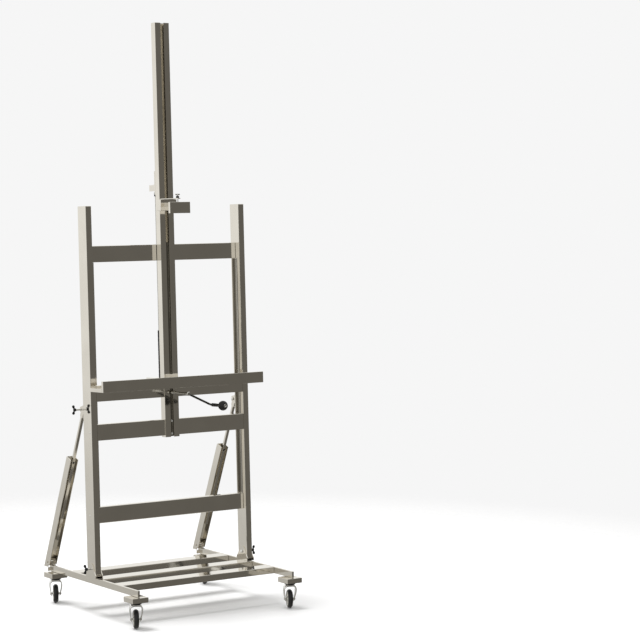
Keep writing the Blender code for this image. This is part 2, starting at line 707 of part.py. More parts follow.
def wing_knob(name, frame, at, sign, reach):
    """A clamping bolt along X with a nut on its inner end and two swept lobes on its outer end."""
    inner, start, end = reach
    nut_radius, nut_depth, hub = 0.007, 0.005, 0.0062
    profile = [(0.0, end), (hub - 0.0012, end), (hub, end - 0.0012), (hub, start), (BOLT_RADIUS, start)]
    profile += [(BOLT_RADIUS, -inner), (nut_radius, -inner), (nut_radius, -inner - nut_depth)]
    profile += [(0.0, -inner - nut_depth)]
    turn = ALONG_X if sign > 0 else ALONG_MINUS_X
    knob = turned(name, frame, at, profile, turn, black(name), steps=16)
    half = [(0.003, 0.002)] + arc(WING_CENTRE, WING_RADIUS, 200, -20, 8) + [(0.0085, 0.002)]
    shape = half + [(x, -z) for x, z in reversed(half)]
    shape = [(sign * (start + x), z) for x, z in shape]
    return join(knob, outline(name + "_wings", frame, at, shape, WING_THICK, FACING))


def make_strut(side, sign, heel, ear):
    """A channel open to the front that turns on the rail's heel, and the rod that slides in it."""
    name = f"strut_channel_{side}"
    half_width, half_depth = STRUT_WIDTH / 2, STRUT_DEPTH / 2
    low, high = (-half_width, -half_depth, STRUT_FOOT), (half_width, half_depth, STRUT_TOP)
    outer = box(name, heel, low, high, polished(name), SMALL_EDGE)
    inside = box(
        name + "_inside",
        heel,
        (-half_width + STRUT_WALL, -half_depth - 0.01, STRUT_FOOT - 0.01),
        (half_width - STRUT_WALL, half_depth - STRUT_WALL, STRUT_TOP + 0.01),
    )
    cut(outer, inside, bolt_hole(name + "_hole", heel, (0.0, 0.0, 0.0)))
    trims = ((0.15, 0.145), (RAIL_LENGTH / 2 + 0.0025 - HEEL_Y, RAIL_TOP + 0.0021))
    for i, (reach_y, top) in enumerate(trims):
        trim = box(f"{name}_trim_{i}", heel, (-0.05, -0.15, -0.2), (0.05, reach_y, top - HEEL_Z))
        trim.rotation_euler = (-STRUT_ANGLE, 0.0, 0.0)
        trim.location = Matrix.Rotation(-STRUT_ANGLE, 3, "X") @ trim.location
        cut(outer, trim)
    name = f"strut_rod_{side}"
    half_width, half_depth = ROD_WIDTH / 2, ROD_DEPTH / 2
    low, high = (-half_width, -half_depth, -ROD_LENGTH), (half_width, half_depth, 0.0)
    bar = box(name, ear, low, high, polished(name), SMALL_EDGE)
    head = arc((0.0, 0.0), ROD_HEAD_RADIUS, 0, 180, 9)
    head += [(-ROD_HEAD_RADIUS, -ROD_HEAD_LENGTH), (-half_depth + 0.0005, -ROD_HEAD_LENGTH - 0.008)]
    head += [(-y, z) for y, z in reversed(head[-2:])]
    join(bar, outline(name + "_head", ear, (0.0, 0.0, 0.0), head, ROD_WIDTH, UPRIGHT))
    cut(bar, bolt_hole(name + "_hole", ear, (0.0, 0.0, 0.0)))


def make_fork(name, swivel, disc_top):
    """A bent plate over the wheel: an arch seen along the wheel, narrowing down to the axle from the side."""
    arch = [(-x, z) for x, z in FORK_OUTER] + [(x, z) for x, z in reversed(FORK_OUTER)]
    arch += [(x, z) for x, z in reversed(FORK_INNER)] + [(-x, z) for x, z in FORK_INNER]
    fork = outline(name, swivel, (0.0, 0.0, 0.0), arch, 0.06, FACING, polished(name))
    foot = arc((CASTER_TRAIL, WHEEL_RADIUS), 0.0105, 190, 350, 9)
    crown_rear, crown_front, over = -0.021, 0.023, FORK_TOP + 0.01
    side = [(crown_rear, over), (crown_rear, FORK_ROOT), *foot, (crown_front, FORK_ROOT), (crown_front, over)]
    combine(fork, outline(name + "_side", swivel, (0.0, 0.0, 0.0), side, 0.08, UPRIGHT), "INTERSECT")
    low = FORK_TOP - 0.001
    disc = rod(name + "_disc", swivel, (0.0, 0.0, (low + disc_top) / 2), DISC_RADIUS, disc_top - low)
    axle_at = (0.0, CASTER_TRAIL, WHEEL_RADIUS)
    axle = rod(name + "_axle", swivel, axle_at, AXLE_RADIUS, AXLE_LENGTH, ALONG_X, segments=HOLE_ROUND)
    return join(fork, disc, axle)


def make_caster(base, row, side, x, y):
    """A plate under the rail, a fork that swivels under it, and a wheel on the fork's axle."""
    tag = f"{row}_{side}"
    top = RAIL_TOP - RAIL_HEIGHT - GAP
    low, half = top - PLATE_THICK, PLATE_SIDE / 2
    name = f"caster_plate_{tag}"
    box(name, base, (x - half, y - half, low), (x + half, y + half, top), polished(name), SMALL_EDGE)
    swivel = frame_at(f"swivel_{tag}", (x, y, 0.0), base, (0.0, 0.0, 0.0), (0.0, 0.0, CASTER_TURN))
    make_fork(f"caster_fork_{tag}", swivel, low - GAP)
    wheel = frame_at(f"axle_{tag}", (0.0, CASTER_TRAIL, WHEEL_RADIUS), swivel, (0.0, 0.0, 0.0))
    hub, seat = 0.011, 0.029
    rim = [(WHEEL_BORE, HUB_HALF), (hub, HUB_HALF), (hub, WHEEL_HALF - 0.001), (seat, WHEEL_HALF - 0.001)]
    rim += [(seat, WHEEL_HALF), (WHEEL_RADIUS - 0.003, WHEEL_HALF), (WHEEL_RADIUS, WHEEL_HALF - 0.003)]
    profile = rim + [(r, -z) for r, z in reversed(rim)]
    name = f"caster_wheel_{tag}"
    turned(name, wheel, (0.0, 0.0, 0.0), profile, ALONG_X, black(name), closed=True, steps=24)


def make_all():
    base = frame_at("base", (0.0, CENTRE_SHIFT, 0.0), origin=(0.0, 0.0, 0.0))
    c, s = math.cos(LEAN), math.sin(LEAN)
    pivot = Vector((0.0, FRAME_Y + TILT_D * c + TILT_S * s, FRAME_Z - TILT_D * s + TILT_S * c))
    upright = frame_at("frame_pivot", pivot, base, (0.0, TILT_D, TILT_S), (-LEAN, 0.0, 0.0))
    mast = frame_at("mast_slide", (0.0, SCREW_D, MAST_FOOT), upright)
    clamp = frame_at("clamp_slide", (0.0, 0.0, 1.447), mast)
    crank = frame_at("crank_axis", (0.0, CRANK_D, CRANK_S), upright)
    crank_knob = frame_at("crank_knob_axis", (ARM_END_X, CRANK_D, ARM_END_S), crank)
    drive = frame_at("drive_axis", (0.0, SCREW_D, CRANK_S), upright)
    make_base_bars(base)
    make_frame_bars(upright)
    make_lower_channel(upright)
    make_guide(upright)
    make_guide_screws(upright)
    make_gear_housing(upright)
    make_mast(mast)
    make_mast_bracket(mast)
    make_lead_screw(mast)
    make_tray(mast)
    make_clamp(clamp)
    make_clamp_screw(frame_at("clamp_screw_axis", (0.0, CLAMP_SCREW_D, STRAP_S), clamp))
    make_crank(crank)
    make_crank_knob(crank_knob)
    make_drive_tube(drive)
    for side, sign in SIDES:
        make_rail(base, side, sign)
        make_base_bracket(base, side, sign, pivot)
        make_strut_heel(base, side, sign)
        make_post(upright, side, sign)
        make_post_ear(upright, side, sign)
        heel_at, ear_at = (sign * POST_X, HEEL_Y, HEEL_Z), (sign * POST_X, EAR_D, EAR_S)
        origin = (0.0, 0.0, 0.0)
        heel = frame_at(f"strut_heel_axis_{side}", heel_at, base, origin, (STRUT_ANGLE, 0.0, 0.0))
        ear = frame_at(f"strut_ear_axis_{side}", ear_at, upright, origin, (STRUT_ANGLE + LEAN, 0.0, 0.0))
        make_strut(side, sign, heel, ear)
        tilt_at = (sign * POST_X, TILT_D, TILT_S)
        tilt = frame_at(f"tilt_knob_axis_{side}", tilt_at, upright)
        wing_knob(f"tilt_knob_{side}", tilt, tilt_at, sign, TILT_KNOB)
        lock = frame_at(f"strut_knob_axis_{side}", ear_at, upright)
        wing_knob(f"strut_knob_{side}", lock, ear_at, sign, STRUT_KNOB)
        for row, y in CASTER_PLACES.items():
            make_caster(base, row, side, sign * RAIL_X, y)


make_all()
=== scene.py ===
"""The looks of a polished metal studio easel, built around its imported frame.

Metres, +Z up, -Y to the painter. The leaning upright frame has its own directions: REARWARD is square to
the faces of its posts and UPWARD runs along them. Every new surface is worked out as arrays of points.
"""
import json
import math

import bpy
import numpy as np
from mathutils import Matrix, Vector


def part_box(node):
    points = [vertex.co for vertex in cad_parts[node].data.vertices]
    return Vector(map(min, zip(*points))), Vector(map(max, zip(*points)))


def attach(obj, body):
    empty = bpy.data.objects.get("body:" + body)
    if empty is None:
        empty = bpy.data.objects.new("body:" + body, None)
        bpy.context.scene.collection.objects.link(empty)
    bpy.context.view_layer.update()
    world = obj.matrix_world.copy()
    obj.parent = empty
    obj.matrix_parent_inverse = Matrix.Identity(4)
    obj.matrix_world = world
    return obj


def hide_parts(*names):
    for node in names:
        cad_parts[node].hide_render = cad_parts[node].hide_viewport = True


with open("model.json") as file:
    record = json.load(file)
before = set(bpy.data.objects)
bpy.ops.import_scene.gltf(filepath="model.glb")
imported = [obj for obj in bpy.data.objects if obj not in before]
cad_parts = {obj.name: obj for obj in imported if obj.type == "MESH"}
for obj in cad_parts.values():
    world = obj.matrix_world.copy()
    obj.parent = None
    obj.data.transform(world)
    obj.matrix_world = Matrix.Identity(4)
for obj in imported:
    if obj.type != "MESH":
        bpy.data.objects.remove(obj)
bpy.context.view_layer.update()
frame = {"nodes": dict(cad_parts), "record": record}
JOINTS = {joint["name"]: joint for joint in frame["record"]["behaviour"]["joints"]}
SIDES = (("left", -1.0), ("right", 1.0))
CASTERS = [f"{row}_{side}" for row in ("front", "rear") for side, _ in SIDES]


def joint_point(name):
    """A joint's place at rest."""
    return np.array(JOINTS[name]["pos_m"], float)


def joint_axis(name):
    """A joint's direction, one unit long."""
    axis = np.array(JOINTS[name]["axis"], float)
    return axis / np.linalg.norm(axis)


RIGHT = np.array([1.0, 0.0, 0.0])
STRAIGHT_UP = np.array([0.0, 0.0, 1.0])
UPWARD = joint_axis("mast_lift")
REARWARD = joint_axis("crank_turn")
POST_X, POST_WIDTH, POST_DEPTH = 0.3576, 0.0257, 0.0645
TILT_HEIGHT = 0.037
FOOT = joint_point("frame_tilt") - REARWARD * POST_DEPTH / 2 - UPWARD * TILT_HEIGHT


def on_frame(x, d, s):
    """A point of the upright frame: x to the right, d behind the posts' front faces, s up from their feet."""
    return FOOT + RIGHT * x + REARWARD * d + UPWARD * s


# ---------------------------------------------------------------- camera, light and floor

CAMERA_PLACE = (-4.7876, -7.8420, 1.8034)
CAMERA_AIM = (0.5750, 0.8151, -0.0701)
CAMERA_LENS = 128.46
PAINTER_SIDE = (0.576, -0.817, 0.0)
DARK_WALL = (0.150, 0.142, 0.127)
BACKDROP = (1.0, 0.995, 0.97)
BACKDROP_FOOT = (0.50, 0.49, 0.465)
SEEN_BACKDROP = (0.922, 0.922, 0.922)
ROOM_LIGHT = (0.70, 0.70, 0.70)


def make_camera():
    """Stands to the left of the painter's place, a little above the middle of the easel."""
    camera = bpy.data.objects.new("camera", bpy.data.cameras.new("camera"))
    bpy.context.scene.collection.objects.link(camera)
    camera.location = CAMERA_PLACE
    camera.rotation_euler = Vector(CAMERA_AIM).to_track_quat("-Z", "Y").to_euler()
    camera.data.sensor_width = 36.0
    camera.data.lens = CAMERA_LENS
    camera.data.clip_end = 60.0
    bpy.context.scene.camera = camera


def smooth_step(tree, value, low, high):
    """A smooth step of a value, from 0 at low to 1 at high."""
    step = tree.nodes.new("ShaderNodeMapRange")
    step.interpolation_type = "SMOOTHSTEP"
    step.inputs["From Min"].default_value = low
    step.inputs["From Max"].default_value = high
    tree.links.new(value, step.inputs["Value"])
    return step.outputs[0]


def colour_mix(tree, amount, first, second):
    """Two colours mixed by an amount. Each is a plain colour or another node's output."""
    mix = tree.nodes.new("ShaderNodeMix")
    mix.data_type = "RGBA"
    tree.links.new(amount, mix.inputs["Factor"])
    for socket, colour in (("A", first), ("B", second)):
        if isinstance(colour, tuple):
            mix.inputs[socket].default_value = (*colour, 1.0)
        else:
            tree.links.new(colour, mix.inputs[socket])
    return mix.outputs["Result"]


def make_studio():
    """A pale backdrop all round, dimmer low down, and a dark wall in front that the front faces mirror.

    The wall is a smooth step of how far a direction points to the painter's side, times a smooth step of
    how low it points. The camera and the matt surfaces get even greys of their own."""
    world = bpy.data.worlds.new("studio")
    bpy.context.scene.world = world
    world.use_nodes = True
    tree = world.node_tree
    nodes, links = tree.nodes, tree.links
    nodes.clear()
    direction = nodes.new("ShaderNodeTexCoord").outputs["Generated"]
    towards = nodes.new("ShaderNodeVectorMath")
    towards.operation = "DOT_PRODUCT"
    towards.inputs[1].default_value = PAINTER_SIDE
    links.new(direction, towards.inputs[0])
    split = nodes.new("ShaderNodeSeparateXYZ")
    links.new(direction, split.inputs[0])
    height = split.outputs["Z"]
    wall = nodes.new("ShaderNodeMath")
    wall.operation = "MULTIPLY"
    links.new(smooth_step(tree, towards.outputs["Value"], 0.30, 0.62), wall.inputs[0])
    links.new(smooth_step(tree, height, 0.62, 0.34), wall.inputs[1])
    backdrop = colour_mix(tree, smooth_step(tree, height, -0.03, -0.24), BACKDROP, BACKDROP_FOOT)
    mirrored = colour_mix(tree, wall.outputs[0], backdrop, DARK_WALL)
    path = nodes.new("ShaderNodeLightPath")
    seen = colour_mix(tree, path.outputs["Is Camera Ray"], mirrored, SEEN_BACKDROP)
    lit = colour_mix(tree, path.outputs["Is Diffuse Ray"], seen, ROOM_LIGHT)
    background = nodes.new("ShaderNodeBackground")
    links.new(lit, background.inputs["Color"])
    links.new(background.outputs[0], nodes.new("ShaderNodeOutputWorld").inputs["Surface"])


def make_sun():
    """One broad high light from behind, for soft shadows under the base."""
    light = bpy.data.lights.new("sun", "SUN")
    light.energy = 2.1
    light.angle = math.radians(24.0)
    lamp = bpy.data.objects.new("sun", light)
    bpy.context.scene.collection.objects.link(lamp)
    lamp.rotation_euler = Vector((0.20, -0.24, -1.0)).to_track_quat("-Z", "Y").to_euler()
    lamp.visible_glossy = False


def make_floor():
    """A pale disc, as rings of points at even radii, that fades out into the backdrop."""
    radius, rings, spokes = 4.4, 14, 64
    turn = np.linspace(0.0, 2 * np.pi, spokes, endpoint=False)
    reach = np.linspace(radius / rings, radius, rings)
    level = np.zeros((rings, spokes))
    points = np.stack([np.outer(reach, np.cos(turn)), np.outer(reach, np.sin(turn)), level], axis=-1)
    verts, faces = grid(points, closed_v=True, poles=("start",))
    floor = add_mesh("floor", verts, faces)
    material = bpy.data.materials.new("pale_floor")
    material.use_nodes = True
    tree = material.node_tree
    nodes, links = tree.nodes, tree.links
    shader = nodes["Principled BSDF"]
    shader.inputs["Base Color"].default_value = (0.93, 0.93, 0.93, 1.0)
    shader.inputs["Roughness"].default_value = 0.6
    shader.inputs["Specular IOR Level"].default_value = 0.2
    place = nodes.new("ShaderNodeTexCoord")
    length = nodes.new("ShaderNodeVectorMath")
    length.operation = "LENGTH"
    links.new(place.outputs["Object"], length.inputs[0])
    links.new(smooth_step(tree, length.outputs["Value"], 3.3, 1.25), shader.inputs["Alpha"])
    floor.data.materials.append(material)
    floor.visible_glossy = False


# ---------------------------------------------------------------- surfaces


def grid(points, closed_u=False, closed_v=False, poles=()):
    """Quads between neighbours on a grid of points; a row named in poles is closed by a fan to its centre."""
    rows, columns = points.shape[:2]
    index = np.arange(rows * columns).reshape(rows, columns)
    down = np.roll(index, -1, 0) if closed_u else index[1:]
    here = index if closed_u else index[:-1]
    if closed_v:
        across, down_across = np.roll(here, -1, 1), np.roll(down, -1, 1)
    else:
        here, across, down, down_across = here[:, :-1], here[:, 1:], down[:, :-1], down[:, 1:]
    quads = np.stack([here, across, down_across, down], axis=-1).reshape(-1, 4)
    verts = points.reshape(-1, 3)
    faces = [quads]
    for pole in poles:
        row = index[0] if pole == "start" else index[-1][::-1]
        verts = np.vstack([verts, verts[row].mean(axis=0)])
        centre = np.full(columns, len(verts) - 1)
        faces.append(np.stack([centre, np.roll(row, -1), row], axis=-1))
    return verts, faces


def add_mesh(name, verts, faces, sharp=35.0):
    """A mesh from points and faces, smooth but for edges sharper than an angle. The signed volume under its
    faces, a sum of dot-cross products of their corners, tells whether they have to be turned outwards."""
    lists = [face for group in faces for face in group.tolist()]
    volume = 0.0
    for group in faces:
        for i in range(1, group.shape[1] - 1):
            a, b, c = verts[group[:, 0]], verts[group[:, i]], verts[group[:, i + 1]]
            volume += np.einsum("ij,ij->i", a, np.cross(b, c)).sum()
    if volume < 0:
        lists = [face[::-1] for face in lists]
    mesh = bpy.data.meshes.new(name)
    mesh.from_pydata(verts.tolist(), [], lists)
    mesh.shade_smooth()
    mesh.set_sharp_from_angle(angle=math.radians(sharp))
    obj = bpy.data.objects.new(name, mesh)
    bpy.context.scene.collection.objects.link(obj)
    return obj


def axes_about(axis):
    """Two directions square to an axis and to each other."""
    axis = axis / np.linalg.norm(axis)
    helper = RIGHT if abs(axis[0]) < 0.8 else STRAIGHT_UP
    first = np.cross(axis, helper)
    first /= np.linalg.norm(first)
    return first, np.cross(axis, first)


def rounded(profile, radius, steps=3):
    """The profile with each inner corner replaced by a quadratic curve from one of its sides to the other."""
    profile = np.array(profile, float)
    points = [profile[0]]
    for before, corner, after in zip(profile[:-2], profile[1:-1], profile[2:]):
        into, out = before - corner, after - corner
        size = min(radius, 0.45 * np.linalg.norm(into), 0.45 * np.linalg.norm(out))
        start = corner + into / np.linalg.norm(into) * size
        end = corner + out / np.linalg.norm(out) * size
        for t in np.linspace(0.0, 1.0, steps + 1):
            points.append((1 - t) ** 2 * start + 2 * t * (1 - t) * corner + t**2 * end)
    points.append(profile[-1])
    return np.array(points)


def turned(name, profile, centre, axis, steps=40, lobes=0, depth=0.0, ring=False):
    """A profile of (radius, height) turned about an axis. With lobes, its radius swings by depth as a cosine
    of the turn, scaled by how far out the point is, which makes grips and knurls."""
    profile = np.array(profile, float)
    turn = np.linspace(0.0, 2 * np.pi, steps, endpoint=False)
    first, second = axes_about(axis)
    axis = axis / np.linalg.norm(axis)
    radius, height = profile[:, :1], profile[:, 1:]
    swing = 1.0 + depth * np.cos(lobes * turn)[None, :] if lobes else np.ones((1, steps))
    reach = radius * np.where(radius > 0.75 * radius.max(), swing, 1.0)
    points = (
        centre
        + reach[..., None] * (np.cos(turn)[None, :, None] * first + np.sin(turn)[None, :, None] * second)
        + np.repeat(height[..., None], steps, axis=1) * axis
    )
    verts, faces = grid(points, closed_u=ring, closed_v=True, poles=() if ring else ("start", "end"))
    return add_mesh(name, verts, faces)


def tube(name, path, radius, around=20):
    """A round rod along a path, each ring square to the path and carried on without twist, ends rounded."""
    path = np.array(path, float)
    along = np.gradient(path, axis=0)
    along /= np.linalg.norm(along, axis=1, keepdims=True)
    first, _ = axes_about(along[0])
    turn = np.linspace(0.0, 2 * np.pi, around, endpoint=False)
    rings = []
    for centre, direction in zip(path, along):
        first = first - direction * first.dot(direction)
        first /= np.linalg.norm(first)
        second = np.cross(direction, first)
        rings.append(centre + radius * (np.outer(np.cos(turn), first) + np.outer(np.sin(turn), second)))
    start = path[0] - along[0] * radius * 0.3 + (rings[0] - path[0]) * 0.7
    end = path[-1] + along[-1] * radius * 0.3 + (rings[-1] - path[-1]) * 0.7
    verts, faces = grid(np.array([start, *rings, end]), closed_v=True, poles=("start", "end"))
    return add_mesh(name, verts, faces, sharp=60.0)


def slab(name, outline, thickness, centre, across, up, edge=0.0006):
    """A flat outline given thickness: its rim is a half turn that moves each point inwards by one minus the
    cosine and sideways by the sine, times the edge's radius."""
    outline = np.array(outline, float)
    middle = outline.mean(axis=0)
    before = outline - np.roll(outline, 1, 0)
    after = np.roll(outline, -1, 0) - outline
    before /= np.linalg.norm(before, axis=1, keepdims=True)
    after /= np.linalg.norm(after, axis=1, keepdims=True)
    way = before + after
    inward = np.stack([-way[:, 1], way[:, 0]], axis=1)
    inward /= np.linalg.norm(inward, axis=1, keepdims=True)
    if ((middle - outline) * inward).sum() < 0:
        inward = -inward
    normal = np.cross(across, up)
    half = thickness / 2
    rows = []
    for angle in np.linspace(-90.0, 90.0, 9):
        sine, cosine = math.sin(math.radians(angle)), math.cos(math.radians(angle))
        inset = outline + inward * edge * (1 - cosine)
        offset = np.sign(sine) * (half - edge) + sine * edge
        rows.append(centre + inset[:, :1] * across + inset[:, 1:] * up + normal * offset)
    verts, faces = grid(np.array(rows), closed_v=True, poles=("start", "end"))
    return add_mesh(name, verts, faces)


def arc(x, y, radius, start, end, count):
    """Points of a circle about (x, y), from a start angle to an end angle in degrees."""
    angle = np.radians(np.linspace(start, end, count))
    return np.stack([x + radius * np.cos(angle), y + radius * np.sin(angle)], axis=1)


# ---------------------------------------------------------------- finishes


def marks_group():
    """Handling marks: broad soft smears and fine drawn lines along Z, as a tint, a roughness and a height."""
    group = bpy.data.node_groups.new("handling_marks", "ShaderNodeTree")
    inputs = (
        ("Clean", "NodeSocketColor"),
        ("Dull", "NodeSocketColor"),
        ("Smoothest", "NodeSocketFloat"),
        ("Roughest", "NodeSocketFloat"),
        ("Line Scale", "NodeSocketFloat"),
    )
    for name, kind in inputs:
        group.interface.new_socket(name, in_out="INPUT", socket_type=kind)
    results = {"Colour": "NodeSocketColor", "Roughness": "NodeSocketFloat", "Height": "NodeSocketFloat"}
    for name, kind in results.items():
        group.interface.new_socket(name, in_out="OUTPUT", socket_type=kind)
    nodes, links = group.nodes, group.links
    given, given_out = nodes.new("NodeGroupInput"), nodes.new("NodeGroupOutput")
    place = nodes.new("ShaderNodeTexCoord")
    smear = nodes.new("ShaderNodeTexNoise")
    smear.inputs["Scale"].default_value = 7.0
    smear.inputs["Detail"].default_value = 4.0
    smear.inputs["Distortion"].default_value = 0.6
    links.new(place.outputs["Object"], smear.inputs["Vector"])
    stretch = nodes.new("ShaderNodeMapping")
    stretch.inputs["Scale"].default_value = (1.0, 1.0, 0.04)
    links.new(place.outputs["Object"], stretch.inputs["Vector"])
    line = nodes.new("ShaderNodeTexNoise")
    line.inputs["Detail"].default_value = 2.0
    links.new(stretch.outputs[0], line.inputs["Vector"])
    links.new(given.outputs["Line Scale"], line.inputs["Scale"])
    amount = nodes.new("ShaderNodeMapRange")
    amount.inputs["From Min"].default_value = 0.35
    amount.inputs["From Max"].default_value = 0.72
    links.new(smear.outputs["Fac"], amount.inputs["Value"])
    tint = colour_mix(group, amount.outputs[0], given.outputs["Clean"], given.outputs["Dull"])
    links.new(tint, given_out.inputs["Colour"])
    both = nodes.new("ShaderNodeMath")
    both.operation = "MULTIPLY_ADD"
    both.inputs[1].default_value = 0.55
    links.new(line.outputs["Fac"], both.inputs[0])
    half = nodes.new("ShaderNodeMath")
    half.operation = "MULTIPLY"
    half.inputs[1].default_value = 0.45
    links.new(amount.outputs[0], half.inputs[0])
    links.new(half.outputs[0], both.inputs[2])
    rough = nodes.new("ShaderNodeMapRange")
    links.new(both.outputs[0], rough.inputs["Value"])
    links.new(given.outputs["Smoothest"], rough.inputs["To Min"])
    links.new(given.outputs["Roughest"], rough.inputs["To Max"])
    links.new(rough.outputs[0], given_out.inputs["Roughness"])
    links.new(line.outputs["Fac"], given_out.inputs["Height"])
    return group


MARKS = marks_group()


def finish(name, clean, dull, smoothest, roughest, line_scale, relief, metallic=0.0, shine=0.5):
    """A Principled material whose tint, roughness and relief come from the handling marks."""
    material = bpy.data.materials.new(name)
    material.use_nodes = True
    nodes, links = material.node_tree.nodes, material.node_tree.links
    shader = nodes["Principled BSDF"]
    shader.inputs["Metallic"].default_value = metallic
    shader.inputs["Specular IOR Level"].default_value = shine
    marks = nodes.new("ShaderNodeGroup")
    marks.node_tree = MARKS
    marks.inputs["Clean"].default_value = (*clean, 1.0)
    marks.inputs["Dull"].default_value = (*dull, 1.0)
    marks.inputs["Smoothest"].default_value = smoothest
    marks.inputs["Roughest"].default_value = roughest
    marks.inputs["Line Scale"].default_value = line_scale
    links.new(marks.outputs["Colour"], shader.inputs["Base Color"])
    links.new(marks.outputs["Roughness"], shader.inputs["Roughness"])
    bump = nodes.new("ShaderNodeBump")
    bump.inputs["Strength"].default_value = relief
    bump.inputs["Distance"].default_value = 0.0002
    links.new(marks.outputs["Height"], bump.inputs["Height"])
    links.new(bump.outputs[0], shader.inputs["Normal"])
    return material


NICKEL = finish(
    "polished_nickel",
    clean=(0.74, 0.71, 0.65),
    dull=(0.69, 0.66, 0.60),
    smoothest=0.05,
    roughest=0.13,
    line_scale=260.0,
    relief=0.05,
    metallic=1.0,
)
CHROME = finish(
    "bright_chrome",
    clean=(0.80, 0.80, 0.79),
    dull=(0.74, 0.74, 0.72),
    smoothest=0.04,
    roughest=0.12,
    line_scale=320.0,
    relief=0.04,
    metallic=1.0,
)
STEEL = finish(
    "turned_steel",
    clean=(0.60, 0.59, 0.56),
    dull=(0.50, 0.49, 0.46),
    smoothest=0.18,
    roughest=0.34,
    line_scale=700.0,
    relief=0.15,
    metallic=1.0,
)
GUNMETAL = finish(
    "dark_steel",
    clean=(0.085, 0.083, 0.078),
    dull=(0.12, 0.118, 0.11),
    smoothest=0.16,
    roughest=0.30,
    line_scale=500.0,
    relief=0.12,
    metallic=1.0,
)
# Darker steel that stands for shade: painted shade on the mast guide and on the strips inside the posts'
# channels.
PAINTED_SHADE_STEEL = finish(
    "painted_shade_metal",
    clean=(0.21, 0.195, 0.165),
    dull=(0.28, 0.26, 0.22),
    smoothest=0.16,
    roughest=0.30,
    line_scale=260.0,
    relief=0.05,
    metallic=1.0,
)
BLACK = finish(
    "moulded_black",
    clean=(0.008, 0.008, 0.008),
    dull=(0.014, 0.014, 0.013),
    smoothest=0.22,
    roughest=0.36,
    line_scale=420.0,
    relief=0.10,
    shine=0.22,
)
RUBBER = finish(
    "black_tread",
    clean=(0.009, 0.009, 0.009),
    dull=(0.018, 0.018, 0.017),
    smoothest=0.30,
    roughest=0.46,
    line_scale=180.0,
    relief=0.20,
    shine=0.25,
)
HUB = finish(
    "hub_metal",
    clean=(0.70, 0.69, 0.65),
    dull=(0.60, 0.59, 0.55),
    smoothest=0.20,
    roughest=0.34,
    line_scale=300.0,
    relief=0.10,
    metallic=1.0,
)


# ---------------------------------------------------------------- pieces

# The mast guide takes the darker steel as painted shade.
PLAIN_NODES = {"mast_guide": PAINTED_SHADE_STEEL, "block_plug": BLACK, "clamp_screw": CHROME}
# Wing knobs, as the reach of the nut inwards and the start and end of the hub outwards.
TILT_KNOB = (0.0173, 0.032, 0.042)
STRUT_KNOB = (0.0127, 0.0375, 0.0475)
# Small screws, as a height on the guide or as a depth and a height on a post.
GUIDE_SCREWS = {"upper": 0.601, "lower": 0.5505}
POST_SCREWS = {"lower": (0.0137, 0.577), "bottom": (0.032, 0.2475)}
STRUT_LEAN = math.radians(22.6)


def dress(piece, body, material, *nodes):
    """The piece takes a finish, rides on a body, and stands for the nodes named."""
    piece.data.materials.append(material)
    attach(piece, body)
    if nodes:
        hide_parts(*nodes)
    return piece


def make_wheel(tag):
    """A crowned tyre round a dished hub with a raised boss, both turned about the axle. The tyre's radius
    falls off from its middle as a power of the distance across."""
    body = f"caster_wheel_{tag}"
    centre, axle = joint_point(f"caster_roll_{tag}"), joint_axis(f"caster_roll_{tag}")
    tread, half, seat = 0.0375, 0.0099, 0.0288
    crown = [(tread - 0.0042 * abs(t) ** 2.6, -half * 0.86 * t) for t in np.linspace(-1.0, 1.0, 15)]
    side = [(seat, half - 0.0012), (tread - 0.0070, half)]
    tyre = [*side, *crown, *[(r, -h) for r, h in side[::-1]]]
    dress(turned(f"tyre_{tag}", tyre, centre, axle, 64, ring=True), body, RUBBER, body)
    side = [(0.0044, 0.0125), (0.0085, 0.0125), (0.0105, 0.0113), (0.0115, 0.0078), (0.0240, 0.0066)]
    side += [(0.0258, 0.0090), (seat - 0.0002, 0.0088)]
    hub = rounded([*side, *[(r, -h) for r, h in side[::-1]]], 0.0008)
    dress(turned(f"wheel_hub_{tag}", hub, centre, axle, 48, ring=True), body, HUB)


def band(name, path, side, widths, shifts, thicknesses):
    """A bent plate: at each point of a path, a section with two straight sides and two half-round edges,
    its width and its shift measured along side and its thickness square to both side and path."""
    along = np.gradient(path, axis=0)
    along /= np.linalg.norm(along, axis=1, keepdims=True)
    normal = np.cross(along, side)
    turn = np.linspace(0.0, 2 * np.pi, 20, endpoint=False) + np.pi / 20
    rim = thicknesses[:, None] / 2
    flat = np.maximum(widths[:, None] / 2 - rim, 0.0) * np.sign(np.cos(turn)) + rim * np.cos(turn)
    points = (
        path[:, None, :]
        + (flat + shifts[:, None])[..., None] * side
        + (rim * np.sin(turn))[..., None] * normal[:, None, :]
    )
    verts, faces = grid(points, closed_v=True, poles=("start", "end"))
    return add_mesh(name, verts, faces, 40.0)


